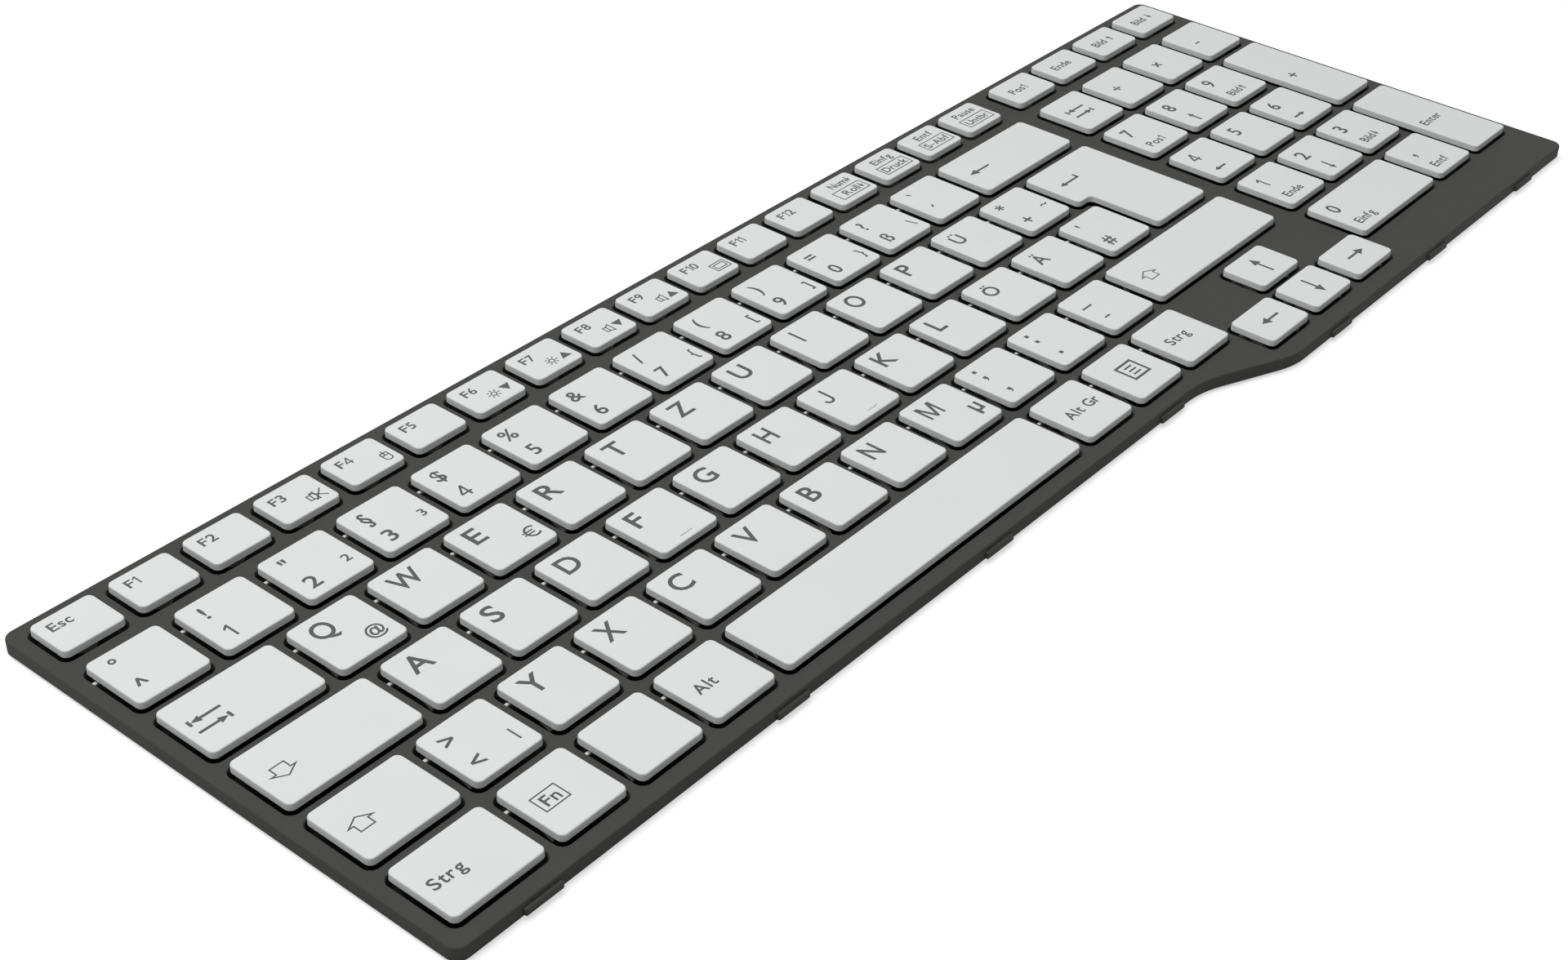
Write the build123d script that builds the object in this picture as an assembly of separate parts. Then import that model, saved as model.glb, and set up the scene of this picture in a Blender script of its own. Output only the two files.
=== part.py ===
from build123d import *
import os
from collections import namedtuple
from math import atan, cos, degrees, pi, sqrt

# Laptop keyboard module: a moulded bezel with one cutout for each keycap, on a membrane and a steel plate.
# Under each keycap a rubber dome pushes it up, and a pair of crossed levers keeps it level.
# +X runs along the rows to the right, +Y to the back, +Z up out of the keycaps.
# The origin is under the middle of the module, on the underside of its plate.

# Driving dimensions in millimetres

# Key field
KEY_PITCH = 18.4  # from one key to the next, along a row and from row to row
RIB = 2.0  # bezel left between two cutouts
PAD_GAP = 0.25 * KEY_PITCH  # between the main block and the number pad
FUNCTION_DEPTH = 11.65  # cutout of a function key, front to back
FUNCTION_RIB = 3.65  # bezel between the number row and the function row
ARROW_DEPTH = 11.95  # cutout of an arrow key, front to back
ARROW_RIB = 1.0  # bezel between the up and down arrows

# Keycaps
CAP_CLEARANCE = 0.6  # gap round a keycap in its cutout
CAP_CORNER = 0.9  # length cut off each corner of a keycap
CAP_HEIGHT = 1.45
CAP_TOP = 0.8  # thickness of the touch face
CAP_WALL = 0.6
CAP_BEVEL = 0.3
CAP_PROUD = 1.8  # touch face above the bezel
KEY_TRAVEL = 1.7
FOLDED_HEIGHT = 1.4  # room that a pressed key leaves for its dome and levers
HOMING_BAR_LENGTH = 3.4  # ridge that marks the home keys
HOMING_BAR_WIDTH = 0.6
HOMING_BAR_HEIGHT = 0.25
HOMING_BAR_EDGE = 1.7  # from the keycap's front edge

# Stack under the keycaps
PLATE_THICKNESS = 0.5
MEMBRANE_THICKNESS = 0.3
PLATE_INSET = 0.8  # plate edge inside the bezel edge
TAIL_SLOT_LENGTH = 26.0  # slot in the plate for the membrane's flat lead
TAIL_SLOT_WIDTH = 3.0
TAIL_SLOT_PLACE = 118.0  # middle of the slot from the left end of the rows

# Bezel edge
MARGIN_LEFT = 2.9  # from the outer cutouts to the bezel's edges
MARGIN_RIGHT = 3.5
MARGIN_BACK = 2.9
MARGIN_FRONT = 3.35  # in front of the bottom row
MARGIN_ARROWS = 4.25  # in front of the lower arrows
BEZEL_CORNER = 2.5
EDGE_BREAK = 0.3  # bevel along the top of the bezel's edge
STEP_LEAD = 2.0  # foot of the front step past the left arrow's cutout
STEP_RUN = 21.8  # length of the front step along X
STEP_HEAD_RADIUS = 25.0
STEP_FOOT_RADIUS = 18.0

# Front tabs, which hook under the case
TAB_WIDTH = 8.3
TAB_REACH = 0.7
TAB_THICKNESS = 1.5
TAB_DROP = 1.1  # top of a tab under the bezel's top
TAB_ROOT = 0.6  # depth of a tab inside the bezel, so that the two are one moulding
LEFT_TAB_COUNT = 4
RIGHT_TAB_COUNT = 3
LEFT_TAB_START = 17.9  # first tab from the left edge, and last tab from the step
LEFT_TAB_END = 11.4
RIGHT_TAB_START = 19.0  # first tab from the step, and last tab from the right edge
RIGHT_TAB_END = 21.8

# Heat stakes that hold bezel, membrane and plate together
STAKE = 1.4
STAKE_CLEARANCE = 0.1
STAKES_IN_A_LINE = 3
STAKE_ROWS = (2, 4)  # the lines of stakes stand in front of these rows, counted from the bottom row

# Domes, levers and stabilisers
DOME_RADIUS = 3.0
DOME_TOP_RADIUS = 1.6
DOME_SIDES = 5
LEVER_CLEARANCE = 0.3  # lever to keycap wall, dome and other lever
LEVER_THICKNESS = 0.75
MECHANISM_PLAY = 0.05  # lever and stabiliser ends to membrane and keycap
BAR = 0.7  # stabiliser wire
BAR_REACH = 5.0
STABILISED_WIDTH = 1.6  # keys wider than this many pitches have a stabiliser


def singles(names):
    return [(name, 1) for name in names.split()]


def row_width(row):
    return sum(width for name, width in row)


# Rows of the main block from the back to the front: each key's name and width in pitches, from the left
NUMBER_ROW = [*singles("caret 1 2 3 4 5 6 7 8 9 0 sharp_s acute"), ("backspace", 2)]
UPPER_ROW = [("tab", 1.5), *singles("q w e r t z u i o p u_umlaut plus")]
HOME_ROW = [("caps_lock", 1.75), *singles("a s d f g h j k l o_umlaut a_umlaut hash")]
SHIFT_ROW = [("left_shift", 1.25), *singles("angle y x c v b n m comma period minus")]
BOTTOM_ROW = [("left_ctrl", 1.25), ("fn", 1), ("system", 1), ("left_alt", 1), ("space", 5)]
BOTTOM_ROW += singles("right_alt menu right_ctrl")
HOME_KEYS = ("f", "j")
FUNCTION_KEYS = 17
PAD_COLUMNS = 4

# The number row sets the main block's width, and the right shift key fills up its row
main_width = row_width(NUMBER_ROW)
SHIFT_ROW += [("right_shift", main_width - row_width(SHIFT_ROW))]


def row_front(row):
    """Where a row's cells begin, from the centre of the bottom row, which is row 0."""
    return (row - 0.5) * KEY_PITCH


# Heights
floor_z = PLATE_THICKNESS + MEMBRANE_THICKNESS
rim_z = floor_z + FOLDED_HEIGHT + KEY_TRAVEL
cap_z = rim_z + CAP_HEIGHT
ceiling_z = cap_z - CAP_TOP
bezel_z = cap_z - CAP_PROUD

# Edges of the key field and of the bezel, from the left end and the centre of the bottom row
pad_left = main_width * KEY_PITCH + PAD_GAP
arrows_left = row_width(BOTTOM_ROW) * KEY_PITCH
function_front = row_front(5) - RIB / 2 + FUNCTION_RIB
up_front = row_front(1) - RIB / 2 - ARROW_DEPTH
arrows_front = up_front - ARROW_RIB - ARROW_DEPTH
edge_left = RIB / 2 - MARGIN_LEFT
edge_right = pad_left + PAD_COLUMNS * KEY_PITCH - RIB / 2 + MARGIN_RIGHT
edge_back = function_front + FUNCTION_DEPTH + MARGIN_BACK
edge_front = row_front(0) + RIB / 2 - MARGIN_FRONT
edge_arrows = arrows_front - MARGIN_ARROWS
step_foot = arrows_left + RIB / 2 + STEP_LEAD
step_head = step_foot - STEP_RUN

# The key field's zero seen from the middle of the whole module, tabs included
field_x = -(edge_left + edge_right) / 2
field_y = -(edge_arrows - TAB_REACH + edge_back) / 2

# Recess under a keycap: square corners, which leave the wall whole behind the cut ones
recess_inset = CAP_WALL + CAP_CORNER / 2
corner_growth = 2 - sqrt(2)  # what a cut corner gains when its outline grows by one

Key = namedtuple("Key", "name corners middle span depth turned")


def rectangular_key(name, left, right, front, back):
    """A key from the edges of its cutout. The mechanism of a key that is deeper than wide is turned."""
    corners = [(left, front), (right, front), (right, back), (left, back)]
    middle = ((left + right) / 2, (front + back) / 2)
    sides = sorted([right - left, back - front])
    return Key(name, corners, middle, sides[1], sides[0], back - front > right - left)


def row_keys(keys_of_row, row, left=0.0, rows=1):
    """Keys side by side from the left, each as deep as the given number of rows."""
    keys = []
    front = row_front(row) + RIB / 2
    back = row_front(row + rows) - RIB / 2
    for name, width in keys_of_row:
        right = left + width * KEY_PITCH
        keys.append(rectangular_key(name, left + RIB / 2, right - RIB / 2, front, back))
        left = right
    return keys


def enter_key():
    """The enter key covers two rows, and its upper half is the wider one."""
    head = row_width(UPPER_ROW) * KEY_PITCH + RIB / 2
    foot = row_width(HOME_ROW) * KEY_PITCH + RIB / 2
    right = main_width * KEY_PITCH - RIB / 2
    front = row_front(2) + RIB / 2
    notch = row_front(3) + RIB / 2
    back = row_front(4) - RIB / 2
    corners = [(foot, front), (right, front), (right, back), (head, back), (head, notch), (foot, notch)]
    middle = ((foot + right) / 2, (front + back) / 2)
    return Key("enter", corners, middle, back - front, right - foot, True)


def arrow_keys():
    """Up alone, and left, down and right in front of it."""
    keys = []
    for name, column, front in [
        ("up", 1, up_front), ("left", 0, arrows_front), ("down", 1, arrows_front), ("right", 2, arrows_front)
    ]:
        left = arrows_left + column * KEY_PITCH
        edges = left + RIB / 2, left + KEY_PITCH - RIB / 2
        keys.append(rectangular_key("arrow_" + name, *edges, front, front + ARROW_DEPTH))
    return keys


def function_keys():
    """A narrow row behind the number row: one run over the main block and one over the number pad."""
    main_pitch = main_width * KEY_PITCH / FUNCTION_KEYS
    lefts = [(n * main_pitch, main_pitch) for n in range(FUNCTION_KEYS)]
    lefts += [(pad_left + n * KEY_PITCH, KEY_PITCH) for n in range(PAD_COLUMNS)]
    return [
        rectangular_key(f"function_{n}", left + RIB / 2, left + pitch - RIB / 2,
                        function_front, function_front + FUNCTION_DEPTH)
        for n, (left, pitch) in enumerate(lefts)
    ]


def pad_keys():
    """Number pad: two tall keys on the right, a double-width zero in front."""
    last = pad_left + (PAD_COLUMNS - 1) * KEY_PITCH
    keys = row_keys([("pad_zero", 2), ("pad_comma", 1)], 0, pad_left)
    for row in (1, 2, 3):
        keys += row_keys(singles("pad_a pad_b pad_c"), row, pad_left)
    keys += row_keys(singles("pad_lock pad_divide pad_multiply pad_minus"), 4, pad_left)
    keys += row_keys(singles("pad_enter"), 0, last, rows=2)
    keys += row_keys(singles("pad_plus"), 2, last, rows=2)
    return keys


def outline(key):
    """The key's cutout with square corners, in the module's frame."""
    return Pos(field_x, field_y) * make_face(Polyline(*key.corners, close=True))


def cutout(key):
    square = outline(key)
    return chamfer(square.vertices(), CAP_CORNER + corner_growth * CAP_CLEARANCE)


def inset(face, distance):
    return offset(face, amount=-distance, kind=Kind.INTERSECTION)


def keycap(key, hollow=True):
    """Keycap with bevelled edges. A hollow one has a recess for its dome and levers."""
    cap = extrude(inset(cutout(key), CAP_CLEARANCE), CAP_HEIGHT).solid()
    top = cap.faces().sort_by(Axis.Z)[-1]
    cap = cap.chamfer(CAP_BEVEL, None, top.edges())
    if hollow:
        cap -= extrude(inset(outline(key), CAP_CLEARANCE + recess_inset), CAP_HEIGHT - CAP_TOP)
    if key.name in HOME_KEYS:
        cap += homing_bar(key)
    return Pos(0, 0, rim_z) * cap


def homing_bar(key):
    """Ridge across the front of a home key's touch face."""
    front = key.middle[1] - key.depth / 2 + CAP_CLEARANCE
    low = Align.CENTER, Align.CENTER, Align.MIN
    bar = Box(HOMING_BAR_LENGTH, HOMING_BAR_WIDTH, HOMING_BAR_HEIGHT, align=low)
    return Pos(field_x + key.middle[0], field_y + front + HOMING_BAR_EDGE, CAP_HEIGHT) * bar


def place(key):
    """Where a key's mechanism stands: on the membrane, with X along the key's longer side."""
    return Pos(field_x + key.middle[0], field_y + key.middle[1], floor_z) * Rot(Z=90 if key.turned else 0)


def dome(height):
    fall = (DOME_RADIUS - DOME_TOP_RADIUS) * cos(pi / DOME_SIDES)
    return extrude(RegularPolygon(DOME_RADIUS, DOME_SIDES), height, taper=degrees(atan(fall / height)))


def slope(width, low_y, high_y, thickness):
    """A flat piece that rises from the membrane at low_y to the keycap's ceiling at high_y."""
    low = MECHANISM_PLAY
    high = ceiling_z - floor_z - MECHANISM_PLAY
    side = Polyline(
        (low_y, low), (low_y, low + thickness), (high_y, high), (high_y, high - thickness), close=True
    )
    return extrude(Plane.YZ * make_face(side), width / 2, both=True)


def open_frame(width, low_y, high_y, thickness, opening_width, opening_end):
    """A slope whose middle is open, from the membrane end up to the bar at opening_end."""
    frame = slope(width, low_y, high_y, thickness)
    start = 2 * low_y - opening_end
    gap = Box(opening_width, abs(opening_end - start), 2 * ceiling_z)
    return frame - Pos(0, (start + opening_end) / 2) * gap


# Levers: the inner one passes through the outer one, and the dome through both
lever_reach = ARROW_DEPTH / 2 - CAP_CLEARANCE - recess_inset - LEVER_CLEARANCE
outer_width = KEY_PITCH - RIB - 2 * (CAP_CLEARANCE + recess_inset + LEVER_CLEARANCE)
dome_room = 2 * (DOME_RADIUS + LEVER_CLEARANCE)
inner_width = (outer_width + dome_room) / 2
outer_opening = inner_width + 2 * LEVER_CLEARANCE


def outer_lever():
    return open_frame(outer_width, -lever_reach, lever_reach, LEVER_THICKNESS, outer_opening, dome_room / 2)


def inner_lever():
    frame = open_frame(inner_width, -lever_reach, lever_reach, LEVER_THICKNESS, dome_room, dome_room / 2)
    return Rot(Z=180) * frame


def stabiliser(key):
    """Wire that ties the two ends of a wide keycap: a bar behind the levers and two legs."""
    back = key.depth / 2 - CAP_CLEARANCE - recess_inset - LEVER_CLEARANCE
    length = key.span - 2 * (CAP_CLEARANCE + recess_inset + LEVER_CLEARANCE)
    return open_frame(length, back - BAR_REACH, back, BAR, length - 2 * BAR, back - BAR)


def stake_places():
    """Under the ribs of two row boundaries, evenly along the module."""
    width = edge_right - edge_left
    return [
        Pos(field_x + edge_left + (n + 0.5) * width / STAKES_IN_A_LINE, field_y + row_front(row))
        for row in STAKE_ROWS
        for n in range(STAKES_IN_A_LINE)
    ]


def module_outline():
    """The bezel's edge: four corners, and a step in front where the arrow keys stand further out."""
    points = [
        (edge_left, edge_front), (step_head, edge_front), (step_foot, edge_arrows),
        (edge_right, edge_arrows), (edge_right, edge_back), (edge_left, edge_back),
    ]
    radii = [BEZEL_CORNER, STEP_HEAD_RADIUS, STEP_FOOT_RADIUS, BEZEL_CORNER, BEZEL_CORNER, BEZEL_CORNER]
    return Pos(field_x, field_y) * make_face(FilletPolyline(*points, radius=radii, close=True))


def spread(first, last, count):
    return [first + n * (last - first) / (count - 1) for n in range(count)]


def front_tabs():
    """Tabs along both stretches of the front edge."""
    tab = Box(TAB_WIDTH, TAB_REACH + TAB_ROOT, TAB_THICKNESS, align=(Align.CENTER, Align.MIN, Align.MAX))
    left = spread(edge_left + LEFT_TAB_START, step_head - LEFT_TAB_END, LEFT_TAB_COUNT)
    right = spread(step_foot + RIGHT_TAB_START, edge_right - RIGHT_TAB_END, RIGHT_TAB_COUNT)
    places = [(x, edge_front) for x in left] + [(x, edge_arrows) for x in right]
    return [Pos(field_x + x, field_y + y - TAB_REACH, bezel_z - TAB_DROP) * tab for x, y in places]


def bezel_frame(keys):
    holes = [cutout(key).face().outer_wire() for key in keys]
    grid = Face(module_outline().face().outer_wire(), holes)
    frame = extrude(Pos(0, 0, floor_z) * grid, bezel_z - floor_z).solid()
    top = frame.faces().sort_by(Axis.Z)[-1]
    frame = frame.chamfer(EDGE_BREAK, None, top.outer_wire().edges())
    stake = Box(STAKE, STAKE, floor_z, align=(Align.CENTER, Align.CENTER, Align.MIN))
    return frame + front_tabs() + [place * stake for place in stake_places()]


def sheet(thickness, bottom_z, slots=()):
    """A sheet under the whole bezel with holes for the stakes, and any slots."""
    side = STAKE + 2 * STAKE_CLEARANCE
    holes = [place * Rectangle(side, side) for place in stake_places()]
    face = inset(module_outline(), PLATE_INSET) - holes - list(slots)
    return Pos(0, 0, bottom_z) * extrude(face, thickness)


def tail_slot():
    """Under the function row, long side along it."""
    middle_y = field_y + function_front + FUNCTION_DEPTH / 2
    return Pos(field_x + TAIL_SLOT_PLACE, middle_y) * Rectangle(TAIL_SLOT_LENGTH, TAIL_SLOT_WIDTH)


def write(name, shape):
    export_step(shape, f"parts/{name}.step")


def main():
    os.makedirs("parts", exist_ok=True)
    pressed = []
    for n, row in enumerate([BOTTOM_ROW, SHIFT_ROW, HOME_ROW, UPPER_ROW]):
        pressed += row_keys(row, n)
    pressed += [enter_key()] + arrow_keys()
    fixed = row_keys(NUMBER_ROW, 4) + function_keys() + pad_keys()
    keys = pressed + fixed

    write("bezel_frame", bezel_frame(keys))
    write("base_plate", sheet(PLATE_THICKNESS, 0, [tail_slot()]))
    write("membrane_sheet", sheet(MEMBRANE_THICKNESS, PLATE_THICKNESS))
    for key in pressed:
        write("key_" + key.name, keycap(key))
    write("fixed_keycaps", Compound([keycap(key, hollow=False) for key in fixed]))
    tall_dome = dome(ceiling_z - floor_z)
    low_dome = dome(rim_z - floor_z)
    domes = [place(key) * tall_dome for key in pressed] + [place(key) * low_dome for key in fixed]
    write("rubber_domes", Compound(domes))
    write("outer_levers", Compound([place(key) * outer_lever() for key in pressed]))
    write("inner_levers", Compound([place(key) * inner_lever() for key in pressed]))
    wide = [key for key in pressed if key.span > STABILISED_WIDTH * KEY_PITCH]
    write("stabiliser_bars", Compound([place(key) * stabiliser(key) for key in wide]))


main()
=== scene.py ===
import math

import bmesh
import bpy
from mathutils import Matrix, Quaternion, Vector
from mathutils.geometry import tessellate_polygon


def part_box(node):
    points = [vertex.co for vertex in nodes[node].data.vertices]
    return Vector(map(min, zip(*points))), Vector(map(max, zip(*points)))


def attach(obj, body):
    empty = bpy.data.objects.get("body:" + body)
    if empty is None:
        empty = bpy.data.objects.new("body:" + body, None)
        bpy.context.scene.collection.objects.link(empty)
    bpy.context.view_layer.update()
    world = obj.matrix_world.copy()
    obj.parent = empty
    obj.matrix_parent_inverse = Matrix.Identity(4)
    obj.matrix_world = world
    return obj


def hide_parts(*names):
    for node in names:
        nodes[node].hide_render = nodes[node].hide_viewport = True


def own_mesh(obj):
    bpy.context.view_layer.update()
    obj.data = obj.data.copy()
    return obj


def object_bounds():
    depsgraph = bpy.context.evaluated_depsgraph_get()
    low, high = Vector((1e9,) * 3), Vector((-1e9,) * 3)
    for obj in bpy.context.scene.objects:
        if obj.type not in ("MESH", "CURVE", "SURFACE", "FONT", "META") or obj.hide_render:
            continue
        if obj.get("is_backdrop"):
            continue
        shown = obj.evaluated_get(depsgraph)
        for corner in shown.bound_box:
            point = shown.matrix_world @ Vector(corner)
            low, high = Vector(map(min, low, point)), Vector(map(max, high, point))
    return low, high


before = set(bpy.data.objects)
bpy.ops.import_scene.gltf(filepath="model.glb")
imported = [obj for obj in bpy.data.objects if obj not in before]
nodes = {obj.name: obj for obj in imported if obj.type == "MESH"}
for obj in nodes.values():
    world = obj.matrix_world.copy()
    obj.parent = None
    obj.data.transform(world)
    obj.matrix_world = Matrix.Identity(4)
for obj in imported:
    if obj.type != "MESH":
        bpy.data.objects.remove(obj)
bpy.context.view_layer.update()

# Laptop keyboard module, dressed for the photo: caps, bezel and mechanisms with round edges, and key legends.
# Shapes are worked out in millimetres in the row frame and become metres when a piece is made.
MM = 0.001

# Caps and cutouts
CAP_CORNER = 1.3
CAP_EDGE = 0.3  # round edge of the touch face
CAP_DRAFT = 0.05
CAP_TOP = 0.8  # thickness of the touch face
CAP_WALL = 1.05
CAP_GAP = 0.6  # round a cap in its cutout
FLAT_RIM = 0.15  # flat border that keeps the shading of a touch face level
HOMING_BAR = Vector((3.4, 0.6, 0.25))
HOMING_BAR_EDGE = 1.7  # from the cap's front edge
HOME_KEYS = ("f", "j")
CORNER_STEPS = 6
EDGE_STEPS = 5
SMALLEST_RADIUS = 0.05
WELD = 0.001  # points of a CAD mesh that are closer than this are one
SMOOTH_ANGLE = math.radians(35)

# Bezel edge, as in the CAD source
BEZEL_CORNER = 2.5
BEZEL_EDGE = 0.3
CUTOUT_EDGE = 0.15
BREAK_STEPS = 3  # faces round an edge of the bezel
FRONT_LEFT = -50.725  # front edge left of the step, and in front of the arrows
FRONT_RIGHT = -60.125
STEP_HEAD = 29.2
STEP_FOOT = 51.0
STEP_HEAD_RADIUS = 25.0
STEP_FOOT_RADIUS = 18.0
TAB = Vector((8.3, 1.3, 1.5))  # with its root inside the bezel
TAB_TOP = 2.45
TAB_EDGE = 0.15
LEFT_TABS = (4, 17.9, 11.4)  # count, first tab from the left edge, last tab from the step
RIGHT_TABS = (3, 19.0, 21.8)  # count, first tab from the step, last tab from the right edge
STAKE = 1.4
STAKE_EDGE = 0.2
STAKES_IN_A_LINE = 3
STAKE_LINES = (-11.575, 25.225)

# Mechanism under a cap
# Radius of a dome, and height as a share of the whole
DOME_PROFILE = [(3.0, 0.0), (3.0, 0.07), (2.6, 0.13), (2.35, 0.5), (1.85, 0.8), (1.6, 1.0)]
DOME_POINTS = 16
LEVER_REACH = 4.0
LEVER_THICKNESS = 0.75
OUTER_HALF = 5.85
INNER_HALF = 4.4
PIN_TOP = 3.28  # the levers of a letter key have pins that end in the gap beside its cap
PIN_HEIGHT = 0.6
PIN_WIDTH = 0.7
PIN_PLACE = 4.6  # behind the key's middle
PIN_GAP = 0.1  # from a pin's end to the cutout
SQUARE_PLAY = 0.5  # keys whose half sides differ by less count as square
BAR = 0.7
BAR_REACH = 5.0
BAR_INSET = 1.75  # from the cap's edge
STABILISED_WIDTH = 28.0
MECHANISM_PLAY = 0.05  # from a lever's ends to membrane and cap
STRUT_CORNER = 0.25  # radius of a bar's corners, as a share of its smaller side
LEVER_MATERIAL = 1  # among the materials of a mechanism
WIRE_MATERIAL = 2

# Legends: the ink, its strokes, and the built-in font
INK_RISE = 0.012
INK_ROOT = 0.01
FINE = 0.28
MEDIUM = 0.45
BOLD = 0.6
ARROW_HEAD = 1.9
ARROW_WIDTH = 1.7
INK_MATERIAL = 1  # among the materials of a cap
LETTER_RESOLUTION = 4
CAPITAL_SHARE = 0.69  # height of a capital in the built-in font at size 1
BOLDER = 0.023  # grown outline of its letters, as a share of a capital's height


def around(corners):
    """Each corner of an outline with the ones before and after it."""
    return zip(corners[-1:] + corners[:-1], corners, corners[1:] + corners[:1])


def moved_in(corners, distance):
    """A counter-clockwise outline with each side moved inwards."""
    moved = []
    for before, corner, after in around(corners):
        first = (corner - before).normalized().orthogonal()
        second = (after - corner).normalized().orthogonal()
        moved.append(corner + (first + second) * distance / (1 + first.dot(second)))
    return moved


def rounded(corners, radii, distance=0.0):
    """An outline with round corners, moved inwards. Corners that point outwards lose radius by that."""
    points = []
    for (before, corner, after), radius in zip(around(moved_in(corners, distance)), radii):
        first = (corner - before).normalized()
        second = (after - corner).normalized()
        turn = math.atan2(first.cross(second), first.dot(second))
        bend = max(radius - math.copysign(distance, turn), SMALLEST_RADIUS)
        side = first.orthogonal() * math.copysign(bend, turn)
        centre = corner - first * bend * math.tan(abs(turn) / 2) + side
        for n in range(CORNER_STEPS + 1):
            points.append(centre - Matrix.Rotation(turn * n / CORNER_STEPS, 2) @ side)
    return points


def at_height(outline, z):
    return [(p.x, p.y, z) for p in outline]


def arc(x, y, radius, start, end):
    """Points round (x, y) from one angle in degrees to another."""
    steps = 2 * CORNER_STEPS
    angles = [math.radians(start + (end - start) * n / steps) for n in range(steps + 1)]
    return [(x + radius * math.cos(a), y + radius * math.sin(a)) for a in angles]


def rectangle(low_x, high_x, low_y, high_y):
    return [Vector(c) for c in [(low_x, low_y), (high_x, low_y), (high_x, high_y), (low_x, high_y)]]


class Shape:
    """Points in millimetres and faces, each face with the number of its material."""

    def __init__(self):
        self.points = []
        self.faces = []
        self.numbers = []

    def add(self, points, faces, number=0):
        start = len(self.points)
        self.points += points
        self.faces += [[start + n for n in face] for face in faces]
        self.numbers += [number] * len(faces)

    def loft(self, rings, number=0, ends=True):
        """A skin over rings with as many points each, which run counter-clockwise seen from the last ring."""
        count = len(rings[0])
        faces = []
        for ring in range(len(rings) - 1):
            for n in range(count):
                low, low_next = ring * count + n, ring * count + (n + 1) % count
                faces.append([low, low_next, low_next + count, low + count])
        if ends:
            last = (len(rings) - 1) * count
            faces.append(list(reversed(range(count))))
            faces.append(list(range(last, last + count)))
        self.add([point for ring in rings for point in ring], faces, number)

    def strut(self, start, end, width, height, number=0):
        """A bar with rounded section from start to end."""
        along = (end - start).normalized()
        across = along.cross(Vector((0, 0, 1))).normalized()
        up = across.cross(along)
        outline = rectangle(-width / 2, width / 2, -height / 2, height / 2)
        section = rounded(outline, [min(width, height) * STRUT_CORNER] * 4)
        rings = [[middle - across * p.x + up * p.y for p in section] for middle in (end, start)]
        self.loft([[tuple(point) for point in ring] for ring in rings], number)


def piece(name, shape, materials, body, slot, *replaced):
    """A mesh that rides a body, in place of the CAD nodes named last. The slot is not used."""
    mesh = bpy.data.meshes.new(name)
    mesh.from_pydata([Vector(p) * MM for p in shape.points], [], shape.faces)
    for material in materials:
        mesh.materials.append(material)
    mesh.polygons.foreach_set("material_index", shape.numbers)
    mesh.polygons.foreach_set("use_smooth", [True] * len(mesh.polygons))
    mesh.set_sharp_from_angle(angle=SMOOTH_ANGLE)
    mesh.update()
    made = bpy.data.objects.new(name, mesh)
    bpy.context.scene.collection.objects.link(made)
    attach(made, body)
    if replaced:
        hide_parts(*replaced)
    return made


# Materials
PATCH_SCALE = 90  # patches to the metre
PATCH_DETAIL = 6
GRAIN_DETAIL = 3
ROUGHNESS_DRIFT = 0.06
BUMP_STRENGTH = 0.5


def surface(name, colour, roughness, grain, depth, metallic=0.0, tone=0.04, stretch=(1, 1, 1), shine=0.5):
    """A finish whose tone and roughness drift in patches, with a fine grain of a size in mm."""
    made = bpy.data.materials.new(name)
    made.use_nodes = True
    tree = made.node_tree
    shader = tree.nodes["Principled BSDF"]
    shader.inputs["Metallic"].default_value = metallic
    shader.inputs["Specular IOR Level"].default_value = shine
    place = tree.nodes.new("ShaderNodeTexCoord")
    mapping = tree.nodes.new("ShaderNodeMapping")
    mapping.inputs["Scale"].default_value = stretch
    tree.links.new(place.outputs["Object"], mapping.inputs["Vector"])
    patches = tree.nodes.new("ShaderNodeTexNoise")
    patches.inputs["Scale"].default_value = PATCH_SCALE
    patches.inputs["Detail"].default_value = PATCH_DETAIL
    fine = tree.nodes.new("ShaderNodeTexNoise")
    fine.inputs["Scale"].default_value = 1 / (grain * MM)
    fine.inputs["Detail"].default_value = GRAIN_DETAIL
    both = tree.nodes.new("ShaderNodeMath")
    both.operation = "ADD"
    halved = tree.nodes.new("ShaderNodeMath")
    halved.operation = "MULTIPLY"
    halved.inputs[1].default_value = 0.5
    mix = tree.nodes.new("ShaderNodeMix")
    mix.data_type = "RGBA"
    mix.inputs["A"].default_value = [c * (1 - tone) for c in colour] + [1]
    mix.inputs["B"].default_value = [c * (1 + tone) for c in colour] + [1]
    rough = tree.nodes.new("ShaderNodeMapRange")
    rough.inputs["To Min"].default_value = roughness - ROUGHNESS_DRIFT
    rough.inputs["To Max"].default_value = roughness + ROUGHNESS_DRIFT
    bump = tree.nodes.new("ShaderNodeBump")
    bump.inputs["Strength"].default_value = BUMP_STRENGTH
    bump.inputs["Distance"].default_value = depth * MM
    for noise in (patches, fine):
        tree.links.new(mapping.outputs["Vector"], noise.inputs["Vector"])
    tree.links.new(patches.outputs["Fac"], both.inputs[0])
    tree.links.new(fine.outputs["Fac"], both.inputs[1])
    tree.links.new(both.outputs["Value"], halved.inputs[0])
    tree.links.new(halved.outputs["Value"], mix.inputs["Factor"])
    tree.links.new(mix.outputs["Result"], shader.inputs["Base Color"])
    tree.links.new(patches.outputs["Fac"], rough.inputs["Value"])
    tree.links.new(rough.outputs["Result"], shader.inputs["Roughness"])
    tree.links.new(fine.outputs["Fac"], bump.inputs["Height"])
    tree.links.new(bump.outputs["Normal"], shader.inputs["Normal"])
    return made


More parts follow.
